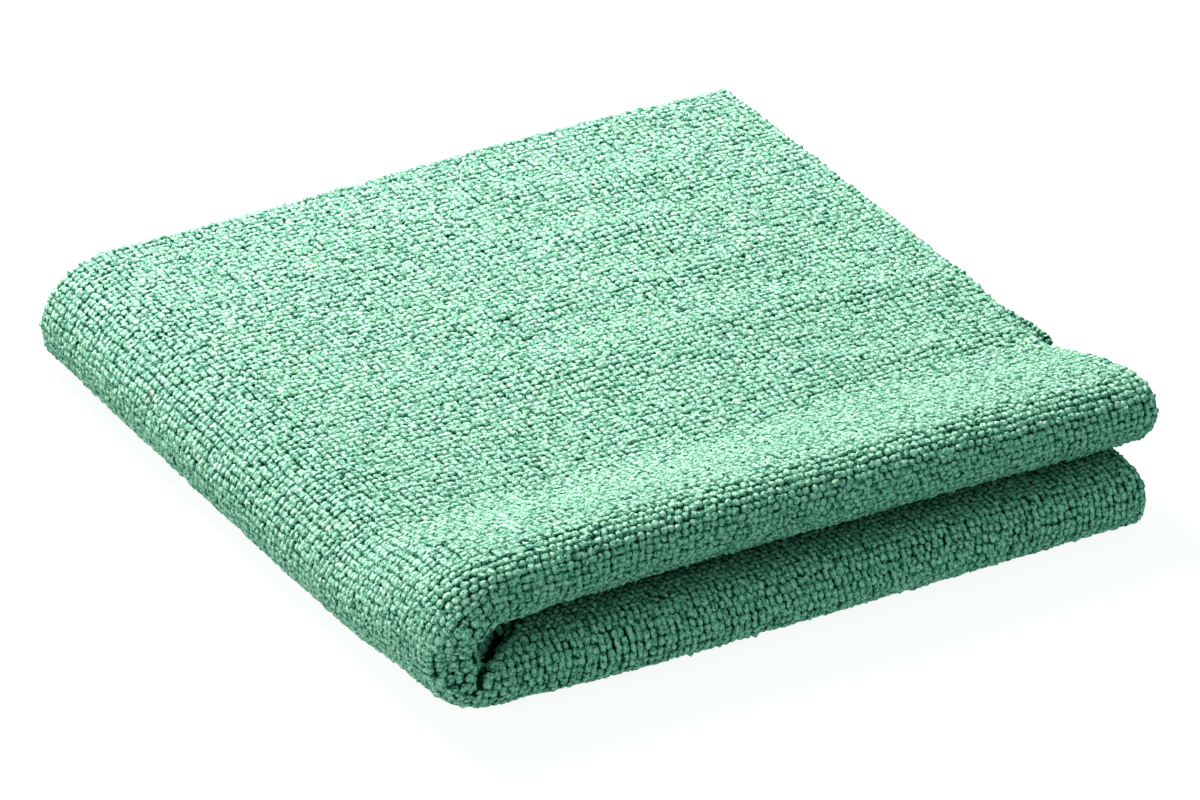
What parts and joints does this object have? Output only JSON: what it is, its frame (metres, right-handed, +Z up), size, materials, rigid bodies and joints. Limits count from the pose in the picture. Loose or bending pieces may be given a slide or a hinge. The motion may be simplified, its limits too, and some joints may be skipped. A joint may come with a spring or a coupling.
{
  "type": "folded microfibre cloth",
  "caption": "Square looped microfibre cleaning cloth folded in half both ways into a flat square pad, with rounded folds at the front and left and open cut edges at the right and back.",
  "frame": {"origin": "on the surface it lies on, under the middle of the folded cloth", "axes": "+Z up through the layers; -Y to the first fold's two lips, -X to the second fold's wrap, +X and +Y to the cut edges"},
  "size_m": [0.2048, 0.2075, 0.0397],
  "materials": {
    "mint_microfibre": "matt looped terry knit in polyester and polyamide microfibre, soft sheen on the loops, edges cut and not hemmed"
  },
  "bodies": {
    "root": {"cloth": "mint_microfibre"}
  },
  "joints": []
}
